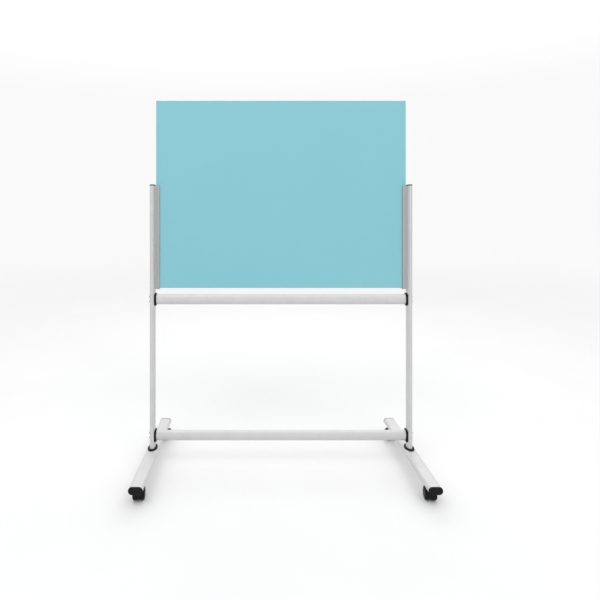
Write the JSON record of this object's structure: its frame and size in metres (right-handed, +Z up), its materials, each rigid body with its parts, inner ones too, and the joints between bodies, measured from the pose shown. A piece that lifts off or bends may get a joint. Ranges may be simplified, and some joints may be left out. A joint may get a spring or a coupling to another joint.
{
  "type": "rolling whiteboard",
  "caption": "Double-sided frameless glass writing board held between two oval uprights with crossbars, on flat-oval feet with swivelling twin-wheel casters.",
  "frame": {"origin": "on the floor under the middle of the board, midway between the two uprights and midway along the feet", "axes": "+Z up, +X to the right along the board seen from the front, +Y to the back, out of the rear writing face"},
  "size_m": [1.3154, 0.6606, 1.79],
  "materials": {
    "aqua_glass": "gloss",
    "backing_steel": "satin",
    "silver_paint": "satin",
    "channel_aluminium": "satin",
    "black_plastic": "matte",
    "black_rubber": "matte",
    "wheel_plastic": "satin",
    "zinc_steel": "satin"
  },
  "bodies": {
    "frame": {"board_front_glass": "aqua_glass", "board_rear_glass": "aqua_glass", "board_steel_sheet": "backing_steel", "left_upright": "silver_paint", "left_foot": "silver_paint", "left_upright_cap": "black_plastic", "left_base_collar": "black_plastic", "left_front_foot_plug": "black_plastic", "left_rear_foot_plug": "black_plastic", "left_middle_connector": "black_plastic", "left_lower_connector": "black_plastic", "left_side_channel": "channel_aluminium", "left_channel_liner": "black_rubber", "left_middle_bar_upper_screw": "zinc_steel", "left_middle_bar_lower_screw": "zinc_steel", "left_lower_bar_upper_screw": "zinc_steel", "left_lower_bar_lower_screw": "zinc_steel", "left_front_base_bolt": "zinc_steel", "left_rear_base_bolt": "zinc_steel", "right_upright": "silver_paint", "right_foot": "silver_paint", "right_upright_cap": "black_plastic", "right_base_collar": "black_plastic", "right_front_foot_plug": "black_plastic", "right_rear_foot_plug": "black_plastic", "right_middle_connector": "black_plastic", "right_lower_connector": "black_plastic", "right_side_channel": "channel_aluminium", "right_channel_liner": "black_rubber", "right_middle_bar_upper_screw": "zinc_steel", "right_middle_bar_lower_screw": "zinc_steel", "right_lower_bar_upper_screw": "zinc_steel", "right_lower_bar_lower_screw": "zinc_steel", "right_front_base_bolt": "zinc_steel", "right_rear_base_bolt": "zinc_steel", "middle_crossbar": "silver_paint", "lower_crossbar": "silver_paint", "front_left_caster_stem": "zinc_steel", "front_right_caster_stem": "zinc_steel", "rear_left_caster_stem": "zinc_steel", "rear_right_caster_stem": "zinc_steel"},
    "front_left_caster": {"front_left_caster_housing": "black_plastic", "front_left_caster_axle": "zinc_steel"},
    "front_left_right_wheel": {"front_left_caster_right_wheel": "wheel_plastic"},
    "front_left_left_wheel": {"front_left_caster_left_wheel": "wheel_plastic"},
    "front_left_brake_pedal": {"front_left_caster_brake_pedal": "black_plastic"},
    "front_right_caster": {"front_right_caster_housing": "black_plastic", "front_right_caster_axle": "zinc_steel"},
    "front_right_right_wheel": {"front_right_caster_right_wheel": "wheel_plastic"},
    "front_right_left_wheel": {"front_right_caster_left_wheel": "wheel_plastic"},
    "front_right_brake_pedal": {"front_right_caster_brake_pedal": "black_plastic"},
    "rear_left_caster": {"rear_left_caster_housing": "black_plastic", "rear_left_caster_axle": "zinc_steel"},
    "rear_left_right_wheel": {"rear_left_caster_right_wheel": "wheel_plastic"},
    "rear_left_left_wheel": {"rear_left_caster_left_wheel": "wheel_plastic"},
    "rear_right_caster": {"rear_right_caster_housing": "black_plastic", "rear_right_caster_axle": "zinc_steel"},
    "rear_right_right_wheel": {"rear_right_caster_right_wheel": "wheel_plastic"},
    "rear_right_left_wheel": {"rear_right_caster_left_wheel": "wheel_plastic"}
  },
  "joints": [
    {"name": "front_left_caster_swivel", "type": "hinge", "parent": "frame", "child": "front_left_caster", "pos_m": [-0.627, -0.275, 0.056], "axis": [0, 0, 1], "continuous": true},
    {"name": "front_left_right_wheel_spin", "type": "hinge", "parent": "front_left_caster", "child": "front_left_right_wheel", "pos_m": [-0.62909, -0.25511, 0.025], "axis": [0.9945, 0.1045, 0], "continuous": true},
    {"name": "front_left_left_wheel_spin", "type": "hinge", "parent": "front_left_caster", "child": "front_left_left_wheel", "pos_m": [-0.62909, -0.25511, 0.025], "axis": [0.9945, 0.1045, 0], "continuous": true},
    {"name": "front_left_brake_press", "type": "hinge", "parent": "front_left_caster", "child": "front_left_brake_pedal", "pos_m": [-0.63104, -0.23657, 0.04722], "axis": [-0.9945, -0.1045, 0], "range_deg": [0, 16]},
    {"name": "front_right_caster_swivel", "type": "hinge", "parent": "frame", "child": "front_right_caster", "pos_m": [0.627, -0.275, 0.056], "axis": [0, 0, 1], "continuous": true},
    {"name": "front_right_right_wheel_spin", "type": "hinge", "parent": "front_right_caster", "child": "front_right_right_wheel", "pos_m": [0.62978, -0.2552, 0.025], "axis": [0.9903, -0.1392, 0], "continuous": true},
    {"name": "front_right_left_wheel_spin", "type": "hinge", "parent": "front_right_caster", "child": "front_right_left_wheel", "pos_m": [0.62978, -0.2552, 0.025], "axis": [0.9903, -0.1392, 0], "continuous": true},
    {"name": "front_right_brake_press", "type": "hinge", "parent": "front_right_caster", "child": "front_right_brake_pedal", "pos_m": [0.63238, -0.23674, 0.04722], "axis": [-0.9903, 0.1392, 0], "range_deg": [0, 16]},
    {"name": "rear_left_caster_swivel", "type": "hinge", "parent": "frame", "child": "rear_left_caster", "pos_m": [-0.627, 0.275, 0.056], "axis": [0, 0, 1], "continuous": true},
    {"name": "rear_left_right_wheel_spin", "type": "hinge", "parent": "rear_left_caster", "child": "rear_left_right_wheel", "pos_m": [-0.62182, 0.29432, 0.025], "axis": [0.9659, -0.2588, 0], "continuous": true},
    {"name": "rear_left_left_wheel_spin", "type": "hinge", "parent": "rear_left_caster", "child": "rear_left_left_wheel", "pos_m": [-0.62182, 0.29432, 0.025], "axis": [0.9659, -0.2588, 0], "continuous": true},
    {"name": "rear_right_caster_swivel", "type": "hinge", "parent": "frame", "child": "rear_right_caster", "pos_m": [0.627, 0.275, 0.056], "axis": [0, 0, 1], "continuous": true},
    {"name": "rear_right_right_wheel_spin", "type": "hinge", "parent": "rear_right_caster", "child": "rear_right_right_wheel", "pos_m": [0.60968, 0.285, 0.025], "axis": [0.5, 0.866, 0], "continuous": true},
    {"name": "rear_right_left_wheel_spin", "type": "hinge", "parent": "rear_right_caster", "child": "rear_right_left_wheel", "pos_m": [0.60968, 0.285, 0.025], "axis": [0.5, 0.866, 0], "continuous": true}
  ]
}
